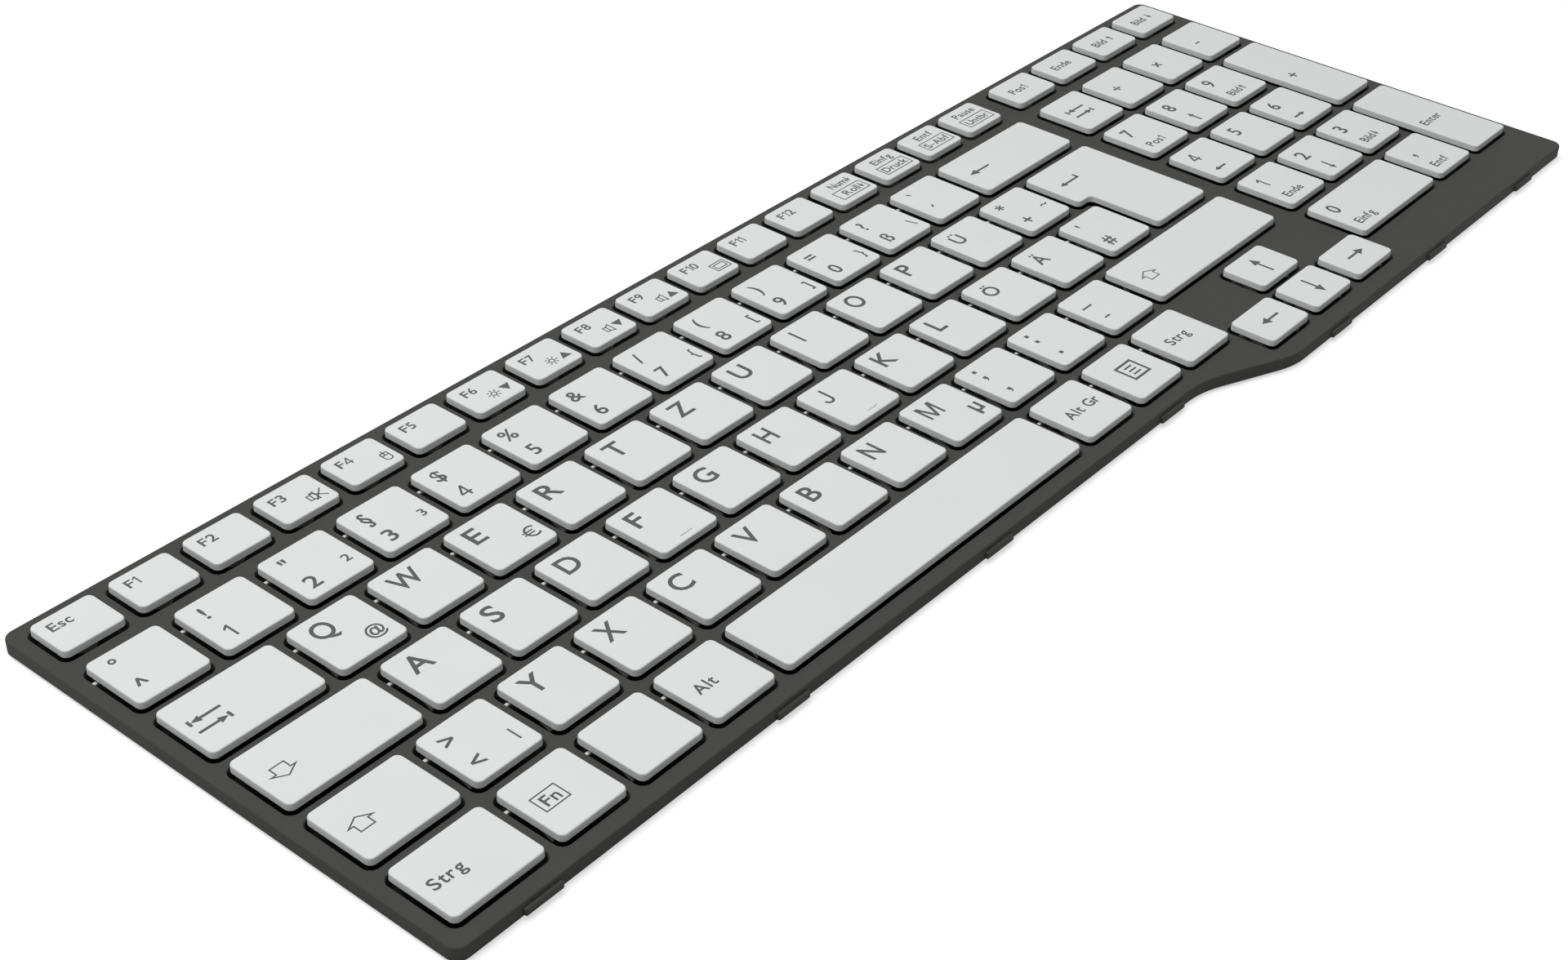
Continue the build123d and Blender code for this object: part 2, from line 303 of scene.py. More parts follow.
cap_plastic = surface("cap_plastic", (0.74, 0.755, 0.75), roughness=0.6, grain=0.25, depth=0.03, shine=0.3)
ink = surface("legend_ink", (0.1, 0.104, 0.1), roughness=0.6, grain=0.2, depth=0.01, tone=0.12, shine=0.2)
bezel_plastic = surface(
    "bezel_plastic", (0.064, 0.065, 0.062), roughness=0.6, grain=0.3, depth=0.06, tone=0.14, shine=0.05
)
steel = surface(
    "plate_steel", (0.55, 0.56, 0.57), roughness=0.38, grain=0.4, depth=0.01,
    metallic=1.0, tone=0.1, stretch=(0.08, 1, 1),
)
# The membrane is a real part, but its near-black colour is painted shade, so the gaps round the caps read
# black.
film_painted_gap_shade = surface(
    "membrane_film_painted_shade", (0.01, 0.01, 0.011), roughness=0.5, grain=0.8, depth=0.02, tone=0.3, shine=0.1
)
silicone = surface("dome_silicone", (0.55, 0.55, 0.52), roughness=0.5, grain=0.6, depth=0.02)
acetal = surface("lever_acetal", (0.75, 0.75, 0.72), roughness=0.4, grain=0.5, depth=0.01)
wire = surface(
    "wire_steel", (0.5, 0.5, 0.5), roughness=0.35, grain=0.3, depth=0.01,
    metallic=1.0, tone=0.1, stretch=(0.1, 1, 1),
)


# Keys: the outline of each cap, from its CAD node


def cap_box(node):
    low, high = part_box(node)
    return low / MM, high / MM


def box_outline(low, high):
    return rectangle(low.x, high.x, low.y, high.y)


def enter_outline():
    """The enter cap covers two rows. Its notch lies beside the caps to its left."""
    low, high = cap_box("key_enter")
    rib = cap_box("key_s")[0].x - cap_box("key_a")[1].x
    foot = cap_box("key_hash")[1].x + rib
    notch = cap_box("key_plus")[0].y
    corners = [
        (foot, low.y), (high.x, low.y), (high.x, high.y), (low.x, high.y), (low.x, notch), (foot, notch),
    ]
    return [Vector(c) for c in corners]


def fixed_outlines():
    """The fixed caps row by row, from the back and from the left: each solid of their node is one cap."""
    mesh = bmesh.new()
    mesh.from_mesh(nodes["fixed_keycaps"].data)
    bmesh.ops.remove_doubles(mesh, verts=mesh.verts, dist=WELD * MM)
    waiting = set(mesh.verts)
    rows = {}
    while waiting:
        edge = [waiting.pop()]
        solid = []
        while edge:
            vertex = edge.pop()
            solid.append(vertex.co / MM)
            found = {side.other_vert(vertex) for side in vertex.link_edges} & waiting
            waiting -= found
            edge += found
        xs, ys = [p.x for p in solid], [p.y for p in solid]
        rows.setdefault(round(max(ys), 1), []).append(rectangle(min(xs), max(xs), min(ys), max(ys)))
    mesh.free()
    return [sorted(rows[y], key=lambda outline: outline[0].x) for y in sorted(rows, reverse=True)]


moving = {
    node.removeprefix("key_"): box_outline(*cap_box(node))
    for node in sorted(nodes)
    if node.startswith("key_")
}
moving["enter"] = enter_outline()
function_row, number_row, pad_row_3, pad_row_2, pad_row_1, pad_row_0 = fixed_outlines()
fixed = function_row + number_row + pad_row_3 + pad_row_2 + pad_row_1 + pad_row_0

rim_z = cap_box("key_a")[0].z
top_z = cap_box("key_a")[1].z
ceiling_z = top_z - CAP_TOP
floor_z = cap_box("membrane_sheet")[1].z
bezel_z = cap_box("bezel_frame")[1].z
ink_low = top_z - INK_ROOT
ink_high = top_z + INK_RISE


def middle(outline):
    xs, ys = [p.x for p in outline], [p.y for p in outline]
    return Vector(((min(xs) + max(xs)) / 2, (min(ys) + max(ys)) / 2))


def half_size(outline):
    return Vector([max(p[axis] for p in outline) for axis in (0, 1)]) - middle(outline)


def add_cap(shape, outline, hollow):
    edge_start = top_z - CAP_EDGE
    profile = [(CAP_WALL, ceiling_z), (CAP_WALL, rim_z)] if hollow else []
    profile.append((0, rim_z))
    for n in range(EDGE_STEPS + 1):
        angle = math.radians(90) * n / EDGE_STEPS
        inset = CAP_DRAFT + CAP_EDGE * (1 - math.cos(angle))
        profile.append((inset, edge_start + CAP_EDGE * math.sin(angle)))
    profile.append((profile[-1][0] + FLAT_RIM, top_z))
    radii = [CAP_CORNER] * len(outline)
    shape.loft([at_height(rounded(outline, radii, inset), z) for inset, z in profile])


def add_homing_bar(shape, outline):
    """Ridge with a round top across the front of a home key."""
    half = HOMING_BAR / 2
    front = outline[0].y + HOMING_BAR_EDGE
    corners = [p + Vector((middle(outline).x, front)) for p in rectangle(-half.x, half.x, -half.y, half.y)]
    rings = []
    for n in range(EDGE_STEPS):
        angle = math.radians(90) * n / EDGE_STEPS
        inset = half.y * (1 - math.cos(angle))
        rings.append(at_height(rounded(corners, [half.y] * 4, inset), top_z + HOMING_BAR.z * math.sin(angle)))
    shape.loft(rings)


# Legends. Sizes of letters are shares of a capital's height.

LETTER_GAP = 0.11
SPACE = 0.3
STEM = 0.13  # stroke of the letters drawn here
DOT = 0.25
HOOK = 0.28  # radius of the J
M_WIDTH = 0.95
M_HEAD = 1.5 * STEM  # top of each stem
M_FORK = 0.74  # highest point between a stem and its arm
M_NOTCH = 0.22  # lowest point of the notch in its top
EURO_ARC = (0.62, 0.5, 0.5)  # middle and radius
EURO_OPENING = 45  # degrees from +X to each end of the arc
EURO_BARS = (0.34, 0.55)
EURO_BAR_STROKE = 0.8 * STEM
EURO_BAR_END = 0.1  # past the middle
ONE_STEM = 0.22  # left side of the stem
FOUR_STEM = 0.43
FOUR_BAR = 0.22  # lower side of the bar
FOUR_WIDTH = 0.7
RAISED_DOT = rectangle(0, DOT, 1 - DOT, 1)
COMMA = [(0, -0.18), (0.12, -0.18), (DOT, 0), (DOT, DOT), (0, DOT), (0, 0), (0.12, 0)]


def drawn_m():
    foot = STEM / 2
    left = [(0, 0), (STEM, 0), (STEM, M_FORK), (M_WIDTH / 2 - foot, 0)]
    right = [(M_WIDTH - x, y) for x, y in reversed(left)]
    top = [(M_WIDTH, 1), (M_WIDTH - M_HEAD, 1), (M_WIDTH / 2, M_NOTCH), (M_HEAD, 1), (0, 1)]
    return left + right + top


def drawn_j():
    inside = arc(HOOK, HOOK, HOOK - STEM, 360, 180)
    outside = arc(HOOK, HOOK, HOOK, 180, 360)
    return [(2 * HOOK - STEM, 1)] + inside + outside + [(2 * HOOK, 1)]


def drawn_euro():
    """A round letter with two bars, each in one part outside and one inside of it."""
    x, y, radius = EURO_ARC
    end = 360 - EURO_OPENING
    outlines = [arc(x, y, radius, EURO_OPENING, end) + arc(x, y, radius - STEM, end, EURO_OPENING)]
    for bar in EURO_BARS:
        top = bar + EURO_BAR_STROKE
        outlines.append(rectangle(0, x - radius, bar, top))
        outlines.append(rectangle(x - radius + STEM, x + EURO_BAR_END, bar, top))
    return outlines


def drawn_one():
    right = ONE_STEM + STEM
    return [(ONE_STEM, 0), (right, 0), (right, 1), (0.24, 1), (0, 0.8), (0, 0.65), (ONE_STEM, 0.81)]


def drawn_four():
    """A stem, a bar that it cuts in two, and a slope down to the bar's left end."""
    right = FOUR_STEM + STEM
    top = FOUR_BAR + STEM
    return [
        rectangle(FOUR_STEM, right, 0, 1), rectangle(0, FOUR_STEM, FOUR_BAR, top),
        rectangle(right, FOUR_WIDTH, FOUR_BAR, top),
        [(0, top), (0.15, top), (FOUR_STEM, 0.77), (FOUR_STEM, 1)],
    ]


OWN_LETTERS = {
    "1": [drawn_one()],
    "4": drawn_four(),
    "I": [rectangle(0.26, 0.26 + STEM, 0, 1)],
    "J": [drawn_j()],
    "M": [drawn_m()],
    "€": drawn_euro(),
    ".": [rectangle(0, DOT, 0, DOT)],
    ",": [COMMA],
    ":": [rectangle(0, DOT, 0, DOT), RAISED_DOT],
    ";": [COMMA, RAISED_DOT],
    "-": [rectangle(0, 0.5, 0.28, 0.28 + STEM)],
    "_": [rectangle(0, 0.9, 0.07, 0.07 + STEM)],
    "|": [rectangle(0, STEM, -0.08, 1.08)],
}
# Letters that the legends show wider or narrower than the built-in font
STRETCH = {**dict.fromkeys("EFRS23", 1.13), **dict.fromkeys("HNOQWX", 0.87)}

glyphs = {}


def built_in_letter(letter):
    """Points and faces of a letter of the built-in font, made bolder, with its left end at 0."""
    curve = bpy.data.curves.new("letter", "FONT")
    curve.body = letter
    curve.size = 1 / CAPITAL_SHARE
    curve.offset = BOLDER
    curve.resolution_u = LETTER_RESOLUTION
    curve.extrude = 1
    holder = bpy.data.objects.new("letter", curve)
    mesh = bpy.data.meshes.new_from_object(holder)
    left = min([v.co.x for v in mesh.vertices], default=0)
    size = 1 / (1 + 2 * BOLDER)
    width = size * STRETCH.get(letter, 1)
    points = [((v.co.x - left) * width, (v.co.y + BOLDER) * size, v.co.z) for v in mesh.vertices]
    faces = [list(face.vertices) for face in mesh.polygons]
    bpy.data.meshes.remove(mesh)
    bpy.data.objects.remove(holder)
    bpy.data.curves.remove(curve)
    return points, faces


def glyph(letter):
    """A letter whose capitals have height 1, as a body on both sides of z = 0."""
    if letter not in glyphs:
        made = Shape()
        if letter in OWN_LETTERS:
            for outline in OWN_LETTERS[letter]:
                made.loft([at_height([Vector(p) for p in outline], z) for z in (-1, 1)])
        else:
            made.add(*built_in_letter(letter))
        glyphs[letter] = made
    return glyphs[letter]


class Legends:
    """Printed marks on one cap, each a thin body of ink. Places are from the middle of the cap."""

    def __init__(self, shape, outline):
        self.shape = shape
        self.middle = middle(outline)

    def placed(self, points, x, y, turn):
        turned = Matrix.Rotation(math.radians(turn), 2)
        return [turned @ Vector(p) + self.middle + Vector((x, y)) for p in points]

    def body(self, points, x, y, turn=0):
        """A filled outline."""
        outline = self.placed(points, x, y, turn)
        self.shape.loft([at_height(outline, z) for z in (ink_low, ink_high)], INK_MATERIAL)

    def ring(self, points, x, y, turn=0, stroke=FINE):
        """A line along the inside of an outline."""
        outer = self.placed(points, x, y, turn)
        inner = moved_in(outer, stroke)
        rings = [(inner, ink_high), (inner, ink_low), (outer, ink_low), (outer, ink_high), (inner, ink_high)]
        self.shape.loft([at_height(outline, z) for outline, z in rings], INK_MATERIAL, ends=False)

    def text(self, words, x, y, height, centred=False):
        """A text with its left end at x, or its middle if centred, and its baseline at y."""
        letters = [glyph(letter) for letter in words]
        widths = [max([p[0] for p in letter.points], default=SPACE) for letter in letters]
        pen = -(sum(widths) + LETTER_GAP * (len(words) - 1)) / 2 if centred else 0
        at = self.middle + Vector((x, y))
        for letter, width in zip(letters, widths):
            points = [
                (at.x + (pen + p[0]) * height, at.y + p[1] * height, ink_high if p[2] > 0 else ink_low)
                for p in letter.points
            ]
            self.shape.add(points, letter.faces, INK_MATERIAL)
            pen += width + LETTER_GAP

    def line(self, length, x, y, turn=0, stroke=FINE):
        self.body(rectangle(-length / 2, length / 2, -stroke / 2, stroke / 2), x, y, turn)

    def arrow(self, length, x, y, turn=0, head=ARROW_HEAD, width=ARROW_WIDTH, stroke=BOLD):
        """An arrow that points to +X before its turn."""
        end = length / 2
        neck = end - head
        side = stroke / 2
        half = width / 2
        points = [
            (-end, -side), (neck, -side), (neck, -half), (end, 0), (neck, half), (neck, side), (-end, side),
        ]
        self.body(points, x, y, turn)


# Legends of the keys that move
LETTER_HEIGHT = 4.75
LETTER_PLACE = (-4.85, 0.85)  # left end and baseline
UMLAUT_HEIGHT = 3.7
UMLAUTS = {"o_umlaut": "Ö", "a_umlaut": "Ä", "u_umlaut": "Ü"}
# Second sign of a letter key, with its middle, baseline and height
EXTRA_SIGNS = {"q": ("@", 3.4, -4.7, 2.9), "e": ("€", 4.4, -5.05, 3.5), "m": ("µ", 4.8, -4.2, 4.4)}
SIGN_HEIGHT = 3.65
SIGN_PLACE = -3.8  # middle of the signs on the left
UPPER_SIGN = 1.65
LOWER_SIGN = -5.3
RAISED_SIGN = -4.25  # for the small signs
SIGNS = {
    "angle": ("><", "|"), "plus": ("*+", "~"), "hash": ("'#", ""),
    "comma": (";,", ""), "period": (":.", ""), "minus": ("_-", ""),
}
THIRD_SIGN = (5.25, -4.7, 2.85)  # middle, baseline and height
THIRD_SIGNS = {"2": (4.8, -3.75, 2.2), "3": (4.8, -3.75, 2.2), "|": (4.7, -4.7, 2.85), "~": (4.5, -3.1, 2.85)}
WORD_HEIGHT = 2.6
WORD_LINE = -1.35
WORDS = {  # word and its left end
    "left_ctrl": ("Strg", -7.8), "left_alt": ("Alt", -5.0),
    "right_alt": ("Alt Gr", -5.0), "right_ctrl": ("Strg", -4.8),
}
BLOCK_ARROW = [(-1.6, -1.75), (1.6, -1.75), (1.6, 0), (3.05, 0), (0, 1.75), (-3.05, 0), (-1.6, 0)]
BLOCK_ARROWS = {  # place, and turn in degrees
    "caps_lock": (-9.6, -0.4, 180), "left_shift": (-4.9, -0.2, 0), "right_shift": (-17.6, -0.2, 0),
}
TAB_PLACE = (-7.0, -0.5)
TAB_ARROW = 6.1
TAB_ARROW_RISE = 1.45
STOP = 0.6
STOP_HEIGHT = 1.6
ENTER_ARROW = (7.0, -5.4, 8.9)  # length and place
ENTER_HOOK = 1.5
ARROW_KEY_ARROW = 6.3
ARROW_KEY_HEAD = 2.4
FN_PLACE = (-2.4, 0.15)
FN_FRAME = rectangle(-2.8, 2.8, -2.1, 2.1)
MENU_PLACE = 0.3
MENU_FRAME = rectangle(-2.85, 2.85, -2.8, 2.8)
MENU_LINES = (-1.2, 0, 1.2)
MENU_LINE = 2.5


def signs(marks, pair, third=""):
    """A sign in the back left of a cap, one in front of it, and perhaps a third one on the right."""
    upper, lower = pair
    marks.text(upper, SIGN_PLACE, UPPER_SIGN, SIGN_HEIGHT, centred=True)
    marks.text(lower, SIGN_PLACE, RAISED_SIGN if lower in ",.-" else LOWER_SIGN, SIGN_HEIGHT, centred=True)
    if third:
        marks.text(third, *THIRD_SIGNS.get(third, THIRD_SIGN), centred=True)


def tab_arrows(marks, x, y):
    """Two arrows, each against a stop."""
    for way, turn in ((-1, 180), (1, 0)):
        line_y = y - way * TAB_ARROW_RISE
        marks.arrow(TAB_ARROW, x - way * STOP / 2, line_y, turn)
        marks.line(STOP_HEIGHT, x + way * TAB_ARROW / 2, line_y, 90, STOP)


def moving_legend(marks, name):
    if len(name) == 1:
        marks.text(name.upper(), *LETTER_PLACE, LETTER_HEIGHT)
    if name in UMLAUTS:
        marks.text(UMLAUTS[name], *LETTER_PLACE, UMLAUT_HEIGHT)
    if name in EXTRA_SIGNS:
        marks.text(*EXTRA_SIGNS[name], centred=True)
    if name in SIGNS:
        signs(marks, *SIGNS[name])
    if name in WORDS:
        words, x = WORDS[name]
        marks.text(words, x, WORD_LINE, WORD_HEIGHT)
    if name in BLOCK_ARROWS:
        marks.ring(BLOCK_ARROW, *BLOCK_ARROWS[name])
    if name == "fn":
        marks.text("Fn", FN_PLACE[0], WORD_LINE + FN_PLACE[1], WORD_HEIGHT, centred=True)
        marks.ring(FN_FRAME, *FN_PLACE)
    if name == "menu":
        marks.ring(MENU_FRAME, MENU_PLACE, 0, stroke=BOLD)
        for y in MENU_LINES:
            marks.line(MENU_LINE, MENU_PLACE, y, stroke=MEDIUM)
    if name == "tab":
        tab_arrows(marks, *TAB_PLACE)
    if name == "enter":
        length, x, y = ENTER_ARROW
        marks.arrow(length, x, y, 180)
        marks.line(ENTER_HOOK, x + length / 2 - BOLD / 2, y + ENTER_HOOK / 2, 90, BOLD)
    for n, way in enumerate(("right", "up", "left", "down")):
        if name == "arrow_" + way:
            marks.arrow(ARROW_KEY_ARROW, 0, 0, 90 * n, head=ARROW_KEY_HEAD, width=ARROW_KEY_HEAD)


# Legends of the fixed keys
NUMBER_SIGNS = ["°^", "!1", '"22', "§33", "$4", "%5", "&6", "/7{", "(8[", ")9]", "=0}", "?ß\\", "`´"]
BACKSPACE_ARROW = (7.2, -10.2, 0)  # length and place
BACKSPACE_HEAD = (2.6, 2.1)  # length and width
FUNCTION_WORDS = ["Esc"] + [f"F{n}" for n in range(1, 13)]
FUNCTION_HEIGHT = 2.4
FUNCTION_PLACE = (-4.4, 0.8)
DOUBLE_WORDS = [("Num", "Roll"), ("Einfg", "Druck"), ("Entf", "S-Abf"), ("Pause", "Untbr")]
DOUBLE_HEIGHT = 2.2
DOUBLE_PLACE = 0.5
DOUBLE_LINES = (1.3, -2.8)
DOUBLE_FRAME = rectangle(-4.75, 4.75, -1.95, 1.95)
DOUBLE_FRAME_LINE = -1.7
LOCK_ARROW = 3.4  # from the middle of the words to the arrow behind Num and Roll
PAD_FUNCTION_WORDS = ["Pos1", "Ende", "Bild", "Bild"]
PAD_FUNCTION_PLACE = (-4.6, -1.1)
PAD_FUNCTION_ARROW = 2.4
SMALL_ARROW = 2.5
SMALL_HEAD = 1.2
PAD_ROWS = [
    (pad_row_3, "789", ["Pos1", 90, "Bild"]), (pad_row_2, "456", [180, None, 0]),
    (pad_row_1, "123", ["Ende", -90, "Bild"]), (pad_row_0, "0,", ["Einfg", "Entf"]),
]
PAD_DIGIT = (4.1, 1.05, 3.75)  # middle from the cap's left side, baseline and height
PAD_WORD = (2.6, -5.2, 2.4)  # start from the cap's left side, baseline and height
PAD_WORD_ARROW = 5.9  # from the start of a word to the arrow behind it
PAD_ARROW = (4.2, -4.0)  # length and line
PAD_ARROW_SHIFT = 0.5  # from the middle of the digit
PAD_ARROW_HEAD = 1.5
PAD_ARROW_WIDTH = 1.6
PAD_TAB_PLACE = (-1.2, -0.2)
PAD_SIGN = -2.9
PAD_SIGN_LINE = -1.9
PAD_PLUS_LINE = -2.7
PAD_ENTER_PLACE = (-1.6, -2.6)
ICON_LINE = -1.9
TRIANGLE = [(-1.33, -1.1), (1.33, -1.1), (0, 1.1)]
TRIANGLE_PLACE = 3.8
SPEAKER = [(-1.05, -0.95), (-0.1, -0.95), (1.05, -1.55), (1.05, 1.55), (-0.1, 0.95), (-1.05, 0.95)]
SPEAKER_PLACE = 0.8
MUTE_PLACE = 2.3
CROSS = 3.9
CROSS_PLACE = 3.7
SUN_PLACE = 0.4
SUN_RADIUS = 0.75
SUN_POINTS = 16  # every second one has a ray
RAY = 0.5
RAY_PLACE = 1.2
MOUSE_WIDTH = 1.9
MOUSE = rounded(rectangle(-MOUSE_WIDTH / 2, MOUSE_WIDTH / 2, -1.4, 1.4), [0.9, 0.9, 0.3, 0.3])
MOUSE_PLACE = (4.2, -2.2)
MOUSE_BUTTONS = 0.4  # above its middle
MOUSE_LEAD = 1.6
SCREEN_PLACE = 3.4
SCREEN_FRAMES = [rectangle(-2.2, 2.2, -1.6, 1.6), rectangle(-1.55, 1.55, -0.95, 0.95)]


def sun(marks, x, y):
    angles = [2 * math.pi * n / SUN_POINTS for n in range(SUN_POINTS)]
    marks.ring([(SUN_RADIUS * math.cos(a), SUN_RADIUS * math.sin(a)) for a in angles], x, y)
    for a in angles[::2]:
        marks.line(RAY, x + RAY_PLACE * math.cos(a), y + RAY_PLACE * math.sin(a), math.degrees(a))


def speaker(marks, x, y):
    box_end, box_side = SPEAKER[4]
    marks.ring(SPEAKER, x, y)
    marks.line(2 * box_side, x + box_end, y, 90)


def function_icon(marks, number):
    """Small picture in the front right corner of a function key, by the number after its F."""
    if number == 3:
        speaker(marks, MUTE_PLACE, ICON_LINE)
        for turn in (45, -45):
            marks.line(CROSS, CROSS_PLACE, ICON_LINE, turn)
    if number == 4:
        x, y = MOUSE_PLACE
        marks.ring(MOUSE, x, y)
        marks.line(MOUSE_WIDTH - FINE, x, y + MOUSE_BUTTONS)
        marks.line(MOUSE_LEAD, x, y + MOUSE_BUTTONS + MOUSE_LEAD / 2, 90)
    if number in (6, 7):
        sun(marks, SUN_PLACE, ICON_LINE)
    if number in (8, 9):
        speaker(marks, SPEAKER_PLACE, ICON_LINE)
    if number in (6, 8):
        marks.body(TRIANGLE, TRIANGLE_PLACE, ICON_LINE, 180)
    if number in (7, 9):
        marks.body(TRIANGLE, TRIANGLE_PLACE, ICON_LINE)
    if number == 10:
        for frame_outline in SCREEN_FRAMES:
            marks.ring(frame_outline, SCREEN_PLACE, ICON_LINE)


def page_arrow(marks, x, y, turn):
    """Small arrow that stands behind a word, from its baseline up."""
    marks.arrow(SMALL_ARROW, x, y + SMALL_ARROW / 2, turn, SMALL_HEAD, SMALL_HEAD, MEDIUM)


def function_legend(marks, number):
    """Legend of a function key: a name, two words with a frame round the second, or a word of the pad."""
    doubles = number - len(FUNCTION_WORDS)
    column = doubles - len(DOUBLE_WORDS)
    if doubles < 0:
        marks.text(FUNCTION_WORDS[number], *FUNCTION_PLACE, FUNCTION_HEIGHT)
        function_icon(marks, number)
    elif column < 0:
        for words, line_y in zip(DOUBLE_WORDS[doubles], DOUBLE_LINES):
            marks.text(words, DOUBLE_PLACE, line_y, DOUBLE_HEIGHT, centred=True)
            if doubles == 0:
                rise = line_y + DOUBLE_HEIGHT / 2
                marks.arrow(DOUBLE_HEIGHT, DOUBLE_PLACE + LOCK_ARROW, rise, -90, SMALL_HEAD, SMALL_HEAD, FINE)
        marks.ring(DOUBLE_FRAME, DOUBLE_PLACE, DOUBLE_FRAME_LINE)
    else:
        x, y = PAD_FUNCTION_PLACE
        marks.text(PAD_FUNCTION_WORDS[column], x, y, FUNCTION_HEIGHT)
        if column > 1:
            page_arrow(marks, PAD_FUNCTION_ARROW, y, 90 if column == 2 else -90)


def pad_legend(marks, half, digit, use):
    """A digit in the back of a pad key, and in front of it a word or an arrow turned by an angle."""
    x, y, height = PAD_DIGIT
    marks.text(digit, x - half.x, y, height, centred=True)
    if isinstance(use, str):
        x, y, height = PAD_WORD
        marks.text(use, x - half.x, y, height)
        if use == "Bild":
            page_arrow(marks, x + PAD_WORD_ARROW - half.x, y, 90 if digit == "9" else -90)
    elif use is not None:
        length, line_y = PAD_ARROW
        marks.arrow(length, x + PAD_ARROW_SHIFT - half.x, line_y, use, PAD_ARROW_HEAD, PAD_ARROW_WIDTH)


def fixed_legends(shape):
    for n, outline in enumerate(function_row):
        function_legend(Legends(shape, outline), n)
    for outline, words in zip(number_row, NUMBER_SIGNS):
        signs(Legends(shape, outline), words[:2], words[2:])
    backspace, pad_tab, *pad_signs = number_row[len(NUMBER_SIGNS):]
    Legends(shape, backspace).arrow(*BACKSPACE_ARROW, 180, *BACKSPACE_HEAD)
    tab_arrows(Legends(shape, pad_tab), *PAD_TAB_PLACE)
    for outline, sign in zip(pad_signs, "÷×-"):
        Legends(shape, outline).text(sign, PAD_SIGN, PAD_SIGN_LINE, SIGN_HEIGHT, centred=True)
    for row, digits, uses in PAD_ROWS:
        for outline, digit, use in zip(row, digits, uses):
            pad_legend(Legends(shape, outline), half_size(outline), digit, use)
    Legends(shape, pad_row_3[-1]).text("+", PAD_SIGN, PAD_PLUS_LINE, SIGN_HEIGHT, centred=True)
    Legends(shape, pad_row_1[-1]).text("Enter", *PAD_ENTER_PLACE, FUNCTION_HEIGHT, centred=True)


for name, outline in moving.items():
    shape = Shape()
    add_cap(shape, outline, hollow=True)
    if name in HOME_KEYS:
        add_homing_bar(shape, outline)
    moving_legend(Legends(shape, outline), name)
    piece("cap_" + name, shape, [cap_plastic, ink], "key_" + name, "keycap", "key_" + name)

shape = Shape()
for outline in fixed:
    add_cap(shape, outline, hollow=False)
fixed_legends(shape)
piece("caps_fixed", shape, [cap_plastic, ink], "module", "keycap", "fixed_keycaps")


# Bezel


def add_bezel(shape):
    """A plate with round edges at its rim and at each cutout."""
    low, high = cap_box("bezel_frame")
    edge = [
        (low.x, FRONT_LEFT), (STEP_HEAD, FRONT_LEFT), (STEP_FOOT, FRONT_RIGHT),
        (high.x, FRONT_RIGHT), (high.x, high.y), (low.x, high.y),
    ]
    edge_radii = [BEZEL_CORNER, STEP_HEAD_RADIUS, STEP_FOOT_RADIUS] + [BEZEL_CORNER] * 3
    loops = [([Vector(p) for p in edge], edge_radii, BEZEL_EDGE)]
    for outline in list(moving.values()) + fixed:
        grown = moved_in(outline, -CAP_GAP)
        loops.append((grown, [CAP_CORNER + CAP_GAP] * len(grown), -CUTOUT_EDGE))
    tops, bottoms = [], []
    for corners, radii, break_edge in loops:
        size = abs(break_edge)
        profile = [(0, floor_z), (0, bezel_z - size)]
        for n in range(1, BREAK_STEPS + 1):
            angle = math.radians(90 / BREAK_STEPS) * n
            profile.append((break_edge * (1 - math.cos(angle)), bezel_z - size + size * math.sin(angle)))
        rings = [at_height(rounded(corners, radii, inset), z) for inset, z in profile]
        if break_edge < 0:
            rings = [list(reversed(ring)) for ring in rings]
        shape.loft(rings, ends=False)
        bottoms.append(rings[0])
        tops.append(rings[-1])
    for rings, up in ((tops, True), (bottoms, False)):
        points = [point for ring in rings for point in ring]
        faces = []
        for face in tessellate_polygon([[Vector(point) for point in ring] for ring in rings]):
            a, b, c = (Vector(points[n]) for n in face)
            rising = (b - a).cross(c - a).z > 0
            faces.append(face if rising == up else tuple(reversed(face)))
        shape.add(points, faces)


def add_block(shape, corners, low, high, edge):
    """A block with round corners and edges."""
    radii = [2 * edge] * 4
    profile = [(edge, low), (0, low + edge), (0, high - edge), (edge, high)]
    shape.loft([at_height(rounded(corners, radii, inset), z) for inset, z in profile])


def add_tabs(shape, row, left, right, front):
    """A row of tabs along one stretch of the front edge."""
    count, first_gap, last_gap = row
    low = cap_box("bezel_frame")[0]
    tip = front - (FRONT_RIGHT - low.y)
    for n in range(count):
        share = n / (count - 1)
        x = (left + first_gap) * (1 - share) + (right - last_gap) * share
        corners = rectangle(x - TAB.x / 2, x + TAB.x / 2, tip, tip + TAB.y)
        add_block(shape, corners, TAB_TOP - TAB.z, TAB_TOP, TAB_EDGE)


def add_stakes(shape):
    """Stakes that go down through membrane and plate."""
    low, high = cap_box("bezel_frame")
    half = STAKE / 2
    for n in range(STAKES_IN_A_LINE):
        x = low.x + (high.x - low.x) * (n + 0.5) / STAKES_IN_A_LINE
        for y in STAKE_LINES:
            add_block(shape, rectangle(x - half, x + half, y - half, y + half), 0, floor_z + half, STAKE_EDGE)


shape = Shape()
add_bezel(shape)
add_tabs(shape, LEFT_TABS, cap_box("bezel_frame")[0].x, STEP_HEAD, FRONT_LEFT)
add_tabs(shape, RIGHT_TABS, STEP_FOOT, cap_box("bezel_frame")[1].x, FRONT_RIGHT)
add_stakes(shape)
piece("bezel", shape, [bezel_plastic], "module", "bezel", "bezel_frame")


# Domes, levers and stabilisers


def add_dome(shape, at, top):
    rings = []
    for radius, share in DOME_PROFILE:
        z = floor_z + share * (top - floor_z)
        angles = [2 * math.pi * n / DOME_POINTS for n in range(DOME_POINTS)]
        rings.append([(at.x + radius * math.cos(a), at.y + radius * math.sin(a), z) for a in angles])
    shape.loft(rings)


